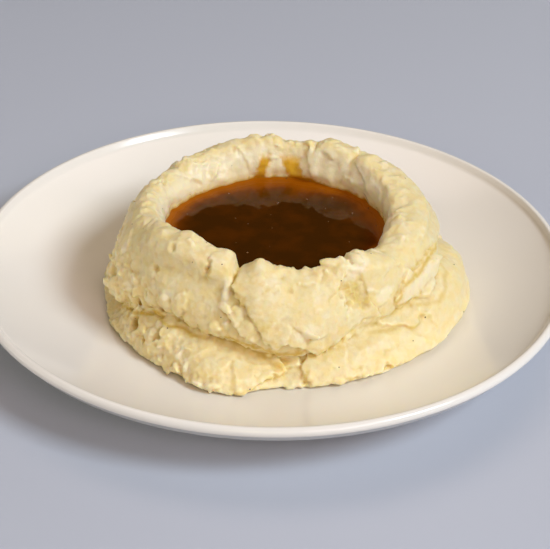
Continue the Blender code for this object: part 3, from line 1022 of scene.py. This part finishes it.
def colourMasks(mesh):
    # masks for the colour: painted shade in crevices, creases and pits, pale flakes with painted light on
    # proud places and the inner wall, and where gravy has run
    look = mashLook
    points, normals, edges = readPoints(mesh), readPoints(mesh, "normal"), readEdges(mesh)
    angles, radii, heights = ringPlaces(points)
    inner = smoothStep(47, 44, radii)
    tree = surfaceTree(points, mesh)
    # how far the surface lies under its own average, over three widths
    depths, flat = [], points
    for rounds in (5, 8, 50):
        flat = relaxed(flat, edges, rounds)
        depths.append(((flat - points) * normals).sum(1) / mm)
    line, dip, deep = depths
    # painted shade: the colour darkens where the surface lies under its average, less so at the back and
    # on the inner wall
    hollow = smoothStep(0.15, 1.1, 0.9 * dip + 0.55 * deep)
    creviceShade = np.maximum(hollow, 0.6 * smoothStep(0.07, 0.3, line))
    creviceShade = np.maximum(creviceShade, 0.4 * smoothStep(0.0, 0.5, dip))
    creviceShade *= 1 - 0.45 * arc(angles, 90, 80)
    creviceShade *= 1 - 0.7 * smoothStep(46, 43, radii)
    # painted shade on the inner wall at the right, low down towards the gravy
    shade = arc(angles, 8, 22) * inner * smoothStep(45, 35, heights)
    creviceShade = np.maximum(relaxed(creviceShade, edges, 1), 0.55 * shade)
    # painted shade: a dark line along the cut of each ledge that has a shade
    for n, spec in enumerate(look["ledges"]):
        if spec["shade"]:
            near, _, side, weight = besidePath(points, normals, tree, spec, 20 + n)
            thread = spec["shade"] * weight * hill(side, 0.3, 0.85)
            creviceShade[near] = np.maximum(creviceShade[near], thread)
    # painted shade in the listed pits and the porous patch
    for n, spot in enumerate(look["shadedSpots"]):
        creviceShade = np.maximum(creviceShade, 0.6 * spotAt(points, tree, spot, 178 + n))
    # painted light: proud places are paler
    proud = np.maximum(smoothStep(0.05, 0.22, -line), 0.8 * smoothStep(0.05, 0.4, -dip))
    paleFlakesAndLight = 0.75 * proud * smoothStep(-0.3, 0.3, noiseAt(points, 5 * mm, 71))
    for n, spot in enumerate(look["paleSpots"]):
        paleFlakesAndLight = np.maximum(paleFlakesAndLight, 0.8 * spotAt(points, tree, spot, 78 + n))
    # painted light: the inner wall above the gravy is paler, standing in for light it lacks
    paleFlakesAndLight = np.maximum(paleFlakesAndLight, 0.9 * smoothStep(46, 43, radii) * smoothStep(34, 38, heights))
    rough = 0.12 + 0.9 * craggy(angles, heights) * smoothStep(43, 47, radii)
    level = gravyLook["level"] / mm
    wobble, ragged = noises(points, look["wobble"]), noises(points, look["ragged"])
    streaks = np.zeros(len(points))
    for angle, wide, top, lean in look["streaks"]:
        off = np.abs(angles - angle - lean * (heights - level)) / wide
        fade = smoothStep(top, top - 3.5, heights + 2 * ragged)
        streaks = np.maximum(streaks, smoothStep(1.15, 0.55, off + ragged) * fade)
    shore = level + 0.7 + 1.4 * wobble
    stain = np.maximum(0.95 * streaks, smoothStep(1.2, -0.9, heights - shore))
    stain = np.maximum(stain, 0.2 * smoothStep(9, 0, heights - shore))
    soaked = shore - 0.2 + 1.3 * streaks + 0.4 * wobble
    wet = np.maximum(smoothStep(3.5, 0.0, heights - shore), smoothStep(0.1, 0.5, streaks))
    writeMask(mesh, "creviceShade", creviceShade)
    writeMask(mesh, "paleAndLit", paleFlakesAndLight)
    writeMask(mesh, "rough", rough)
    writeMask(mesh, "stain", stain * inner)
    writeMask(mesh, "soaked", smoothStep(1.2, -0.8, heights - soaked) * inner)
    writeMask(mesh, "wet", wet * inner)


def mashMaterial():
    look = mashLook
    material, tree, shader, place = newMaterial("mashedPotato", look["flesh"])
    masks = {}
    for name in ("rough", "paleAndLit", "creviceShade", "stain", "soaked", "wet"):
        masks[name] = maskNode(tree, name)
    patches = mottled(tree, place, 240.0, look["colour"], look["colourPatch"], 5.0, 0.52, 0.16)
    threads = mottled(tree, place, 620.0, (0, 0, 0, 1), (1, 1, 1, 1), 3.0, 0.58, 0.1)
    faint = maths(tree, "MULTIPLY", threads["Mask"], 0.2)
    colour = mixColours(tree, faint, patches["Color"], look["thread"])
    torn = {"Vector": place, "Scale": 330.0, "Bend": 0.5}
    ridges = put(tree, "ShaderNodeGroup", torn, node_tree=tornRidges).outputs
    # painted highlights: the pale colour on the crests of the torn ridges, where the surface is broken
    crestHighlights = maths(tree, "MULTIPLY", ridges["Crests"], masks["rough"])
    colour = mixColours(tree, crestHighlights, colour, look["paleAndLit"])
    # the painted light and painted shade, then the gravy stain and soak, mixed into the colour
    for name in ("paleAndLit", "creviceShade", "stain", "soaked"):
        colour = mixColours(tree, masks[name], colour, look[name])
    damp = mapped(tree, masks["wet"], 0.0, 1.0, *look["dryToWet"])
    glossy = maths(tree, "MULTIPLY_ADD", masks["paleAndLit"], -0.16, damp, use_clamp=True)
    feed(tree, shader, {"Roughness": glossy})
    ridged = maths(tree, "MULTIPLY", ridges["Height"], masks["rough"])
    relief = maths(tree, "MULTIPLY_ADD", ridged, 3.4, grained(tree, place, 650.0, 1500.0, 0.45))
    dress(tree, shader, colour, relief, 0.15 * mm, 0.8)
    return material


gravyLook = {
    "level": 34 * mm,
    "bottom": 21.6 * mm,
    "sides": 288,
    "rings": 46,
    "rise": 0.55 * mm,  # how far it creeps up the wall
    "bite": 0.9 * mm,  # how far it goes into the wall
    "band": 2.6,  # how wide the thin edge is, in mm, and the arcs where it is wider
    "bands": [(88, 45, 5.6), (165, 28, 1.8), (10, 25, 2.4)],
    "bed": (0.99, 0.94, 0.8, 0.6, 0.4, 0.2),  # its rows, as shares of the radius
    "deep": (0.046, 0.0145, 0.0012, 1),
    "deepPatch": (0.052, 0.0155, 0.001, 1),
    # middle is partly the colour of the gravy where it thins, partly a painted reflection of the mash wall
    "middle": (0.16, 0.036, 0.001, 1),
    "thin": (0.36, 0.10, 0.0018, 1),
    "skin": {"IOR": 1.22, "Specular Tint": (1.0, 0.5, 0.12, 1)},
}


def ringRow(radii, heights, angles):
    # points round the axis, one for each angle
    turns = np.radians(angles)
    across = ringCentre[0] + radii * np.cos(turns)
    along = ringCentre[1] + radii * np.sin(turns)
    return np.stack((across, along, heights + 0 * angles), 1)


def makeGravy(mashObj):
    look = gravyLook
    level, sides = look["level"], look["sides"]
    angles = np.arange(sides) * 360 / sides
    tree = surfaceTree(readPoints(mashObj.data), mashObj.data)
    start = Vector(ringCentre) + upward * (level + 0.2 * mm)
    hits = [tree.ray_cast(start, outFrom(angle))[0] for angle in angles]
    edge = np.array([(hit - start).xy.length for hit in hits])
    rim = np.stack((np.cos(np.radians(angles)), np.sin(np.radians(angles)), 0 * angles), 1)
    band = arcs(angles, look["band"], look["bands"]) * (1 + 0.45 * noiseAt(rim, 0.22, 95, 3))
    # the top, from the middle out to the wall
    rows, thinness = [], []
    for share in 1 - (1 - np.linspace(0, 1, look["rings"] + 1)[1:]) ** 1.5:
        radii = share * (edge + look["bite"])
        inward = np.maximum(edge - radii, 0) / mm
        rows.append(ringRow(radii, level + look["rise"] * np.exp(-inward / 0.7), angles))
        thinness.append(np.exp(-((inward / band) ** 1.5)))
    # the bed, from the wall back to the middle
    under = level - 0.4 * mm
    for share in look["bed"]:
        drop = min((1 - share) ** 0.5 * 1.2, 1)
        radii = share * (edge + look["bite"]) * (1 if share < 0.99 else 0.995)
        rows.append(ringRow(radii, under - (under - look["bottom"]) * drop, angles))
    points = np.vstack((ringCentre + (0, 0, level), *rows, ringCentre + (0, 0, look["bottom"])))
    faces = []
    tail, last = 1 + (len(rows) - 1) * sides, len(points) - 1
    for side in range(sides):
        after = (side + 1) % sides
        faces.append((0, 1 + side, 1 + after))
        for here in range(1, tail, sides):
            there = here + sides
            faces.append((here + side, there + side, there + after, here + after))
        faces.append((tail + side, last, tail + after))
    top = 1 + look["rings"] * sides
    points[:top, 2] += noises(points[:top], [(0.05, 9, 91), (0.02, 3, 92)]) * mm
    obj = meshObject("gravyPool", points, faces)
    facesOut(obj.data)
    mask = np.zeros(len(points))
    mask[1:top] = np.concatenate(thinness)
    writeMask(obj.data, "thinness", mask)
    obj.data.materials.append(gravyMaterial())
    finishPiece(obj, "gravy")
    return obj


def gravyMaterial():
    look = gravyLook
    material, tree, shader, place = newMaterial("brownGravy", look["skin"])
    clouds = mottled(tree, place, 90.0, look["deep"], look["deepPatch"], 5.0, 0.5, 0.22)
    thinness = maskNode(tree, "thinness")
    wobble = maths(tree, "MULTIPLY_ADD", clouds["Mask"], 0.16, thinness)
    # the middle band: partly the thinning gravy's own colour, partly a painted reflection of the mash wall
    colour = mixColours(tree, mapped(tree, wobble, 0.06, 0.6), clouds["Color"], look["middle"])
    colour = mixColours(tree, mapped(tree, wobble, 0.45, 1.1), colour, look["thin"])
    feed(tree, shader, {"Roughness": mapped(tree, thinness, 0.25, 1.0, 0.05, 0.38)})
    dress(tree, shader, colour, grained(tree, place, 160.0, 700.0, 0.1), 0.05 * mm, 0.4)
    return material


def scatterTree():
    # small beads set on the faces of a surface
    inputs = [
        ("Surface", "Geometry"),
        ("Density", "Float", 1000.0),
        ("Spacing", "Float", 1 * mm),
        ("Lowest", "Float", 0.0),
        ("Smallest", "Float", 0.2 * mm),
        ("Largest", "Float", 0.4 * mm),
        ("Flatness", "Float", 0.6),
        ("Seed", "Int", 1),
        ("Finish", "Material"),
    ]
    tree, given = newNodeTree("scatteredBeads", "GeometryNodeTree", inputs, [("Beads", "Geometry")])
    place = put(tree, "GeometryNodeInputPosition").outputs[0]
    height = put(tree, "ShaderNodeSeparateXYZ", {0: place}).outputs["Z"]
    heights = {0: height, 1: given["Lowest"]}
    above = put(tree, "FunctionNodeCompare", heights, data_type="FLOAT", operation="GREATER_THAN")
    picked = {"Mesh": given["Surface"], "Selection": above.outputs[0], "Seed": given["Seed"]}
    picked |= {"Distance Min": given["Spacing"], "Density Max": given["Density"]}
    spread = put(tree, "GeometryNodeDistributePointsOnFaces", distribute_method="POISSON")
    feed(tree, spread, picked)
    bead = put(tree, "GeometryNodeMeshIcoSphere", {"Radius": 1.0, "Subdivisions": 2}).outputs["Mesh"]
    sizes = {2: given["Smallest"], 3: given["Largest"], "Seed": given["Seed"]}
    size = put(tree, "FunctionNodeRandomValue", sizes, data_type="FLOAT").outputs[1]
    widths = {2: 0.7, 3: 1.2, "Seed": 5}
    wide = put(tree, "FunctionNodeRandomValue", widths, data_type="FLOAT").outputs[1]
    across = maths(tree, "MULTIPLY", size, wide)
    flat = maths(tree, "MULTIPLY", size, given["Flatness"])
    scale = put(tree, "ShaderNodeCombineXYZ", {0: size, 1: across, 2: flat}).outputs[0]
    beads = {"Points": spread.outputs["Points"], "Rotation": spread.outputs["Rotation"]}
    beads |= {"Instance": bead, "Scale": scale}
    placed = put(tree, "GeometryNodeInstanceOnPoints", beads).outputs[0]
    return endTree(tree, placed, given["Finish"])


def scatterOn(surface, name, tree, values, material):
    obj = newObject(name, surface.data.copy())
    obj.data.materials.clear()
    grow(obj, tree, values | {"Finish": material})
    obj.data.shade_smooth()
    for mask in ("creviceShade", "paleAndLit", "stain", "wet"):
        if mask in obj.data.attributes:
            obj.data.attributes.remove(obj.data.attributes[mask])
    finishPiece(obj)


pepperLook = {
    "beads": {
        "Density": 2400.0,
        "Spacing": 9 * mm,
        "Lowest": 8.5 * mm,
        "Smallest": 0.15 * mm,
        "Largest": 0.32 * mm,
        "Flatness": 0.55,
        "Seed": 12,
    },
    "dark": (0.085, 0.055, 0.035, 1),
    "light": (0.22, 0.14, 0.075, 1),
}


def makePepper(mashObj, tree):
    look = pepperLook
    material, shading, shader, place = newMaterial("blackPepper", {"Roughness": 0.7})
    tone = mottled(shading, place, 700.0, look["dark"], look["light"], balance=0.55)
    dress(shading, shader, tone["Color"], grained(shading, place, 4000.0), 0.05 * mm)
    scatterOn(mashObj, "pepperSpecks", tree, look["beads"], material)


bubbleLook = {
    "beads": {
        "Density": 6000.0,
        "Spacing": 6 * mm,
        "Lowest": gravyLook["level"] - 0.3 * mm,
        "Smallest": 0.18 * mm,
        "Largest": 0.5 * mm,
        "Flatness": 0.5,
        "Seed": 7,
    },
    "film": (0.16, 0.06, 0.012, 1),
    "filmPatch": (0.09, 0.03, 0.005, 1),
    "shine": {"Roughness": 0.05, "Coat Weight": 0.6, "Coat Roughness": 0.03},
}


def makeBubbles(gravyObj, tree):
    look = bubbleLook
    material, shading, shader, place = newMaterial("gravyBubble", look["shine"])
    tone = mottled(shading, place, 1500.0, look["film"], look["filmPatch"])
    dress(shading, shader, tone["Color"])
    scatterOn(gravyObj, "gravyBubbles", tree, look["beads"], material)


stageLook = {
    "lens": 102.5,
    "sensor": 36.0,
    "cameraPlace": (0.0017, -0.5208, 0.3368),
    "cameraTarget": (0.0017, -0.0112, 0.02),
    "roll": 0.0164,
    "lightTarget": (0, 0, 0.03),
    "floor": (0.50, 0.53, 0.60, 1),
    "floorHalf": 6.0,
    "world": (0.80, 0.84, 0.92, 1),
    "worldStrength": 0.01,
    "backdrop": 0.4,  # how strong the world is where the camera sees it
}


def makeCamera():
    look = stageLook
    data = bpy.data.cameras.new("camera")
    data.lens = look["lens"]
    data.sensor_width = look["sensor"]
    data.sensor_fit = "HORIZONTAL"
    data.clip_start = 0.01
    camera = newObject("camera", data)
    place = Vector(look["cameraPlace"])
    back = (place - Vector(look["cameraTarget"])).normalized()
    side = upward.cross(back).normalized()
    top = back.cross(side)
    c, s = math.cos(look["roll"]), math.sin(look["roll"])
    turned = Matrix((c * side + s * top, -s * side + c * top, back)).transposed().to_4x4()
    camera.matrix_world = Matrix.Translation(place) @ turned
    scene.camera = camera


def areaLight(name, azimuth, elevation, distance, size, power, colour):
    data = bpy.data.lights.new(name, "AREA")
    data.shape = "RECTANGLE"
    data.size, data.size_y = size
    data.energy = power
    data.color = colour
    light = newObject(name, data)
    tilt = math.radians(elevation)
    away = outFrom(azimuth) * math.cos(tilt) + upward * math.sin(tilt)
    place = Vector(stageLook["lightTarget"]) + away * distance
    turned = away.to_track_quat("Z", "Y").to_matrix().to_4x4()
    light.matrix_world = Matrix.Translation(place) @ turned


def makeLights():
    areaLight("keySoftbox", -30, 42.5, 2.5, (0.8, 0.8), 46.5, (0.80, 0.90, 1.0))
    areaLight("frontSoftbox", -65, 30, 1.0, (0.35, 0.35), 2.5, (1.0, 0.82, 0.86))
    areaLight("topSoftbox", 88, 66, 1.0, (0.9, 0.45), 2.1, (1.0, 0.81, 0.71))
    areaLight("backSoftbox", 60, 35, 1.0, (0.5, 0.5), 0.9, (1.0, 0.9, 0.74))
    areaLight("leftTop", 180, 68, 0.7, (0.9, 0.9), 0.6, (1.0, 0.8, 0.7))
    areaLight("frontFill", -95, 30, 1.5, (0.5, 0.5), 2.8, (1.0, 0.85, 0.45))
    areaLight("leftFill", -172, 12, 1.2, (0.9, 0.4), 3.4, (1.0, 0.99, 0.98))


def makeWorld():
    # a pale backdrop to the camera, and hardly any light from it
    look = stageLook
    world = bpy.data.worlds.new("studio")
    scene.world = world
    world.use_nodes = True
    tree = world.node_tree
    seen = put(tree, "ShaderNodeLightPath").outputs["Is Camera Ray"]
    strength = mapped(tree, seen, 0.0, 1.0, look["worldStrength"], look["backdrop"])
    feed(tree, tree.nodes["Background"], {"Color": look["world"], "Strength": strength})


def makeFloor():
    look = stageLook
    half = look["floorHalf"]
    corners = [(-half, -half, 0), (half, -half, 0), (half, half, 0), (-half, half, 0)]
    floor = meshObject("studioFloor", corners, [(0, 1, 2, 3)])
    material, tree, shader, place = newMaterial("studioFloor", {"Roughness": 0.6})
    patch = tuple(0.985 * c for c in look["floor"][:3]) + (1,)
    dress(tree, shader, mottled(tree, place, 3.0, look["floor"], patch)["Color"])
    floor.data.materials.append(material)
    say("camera, lights and floor done")


makeCamera()
makeLights()
makeWorld()
makeFloor()
makePlate()
mashObj = makeMash()
gravyObj = makeGravy(mashObj)
beads = scatterTree()
makePepper(mashObj, beads)
makeBubbles(gravyObj, beads)

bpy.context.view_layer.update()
say("sizes written")
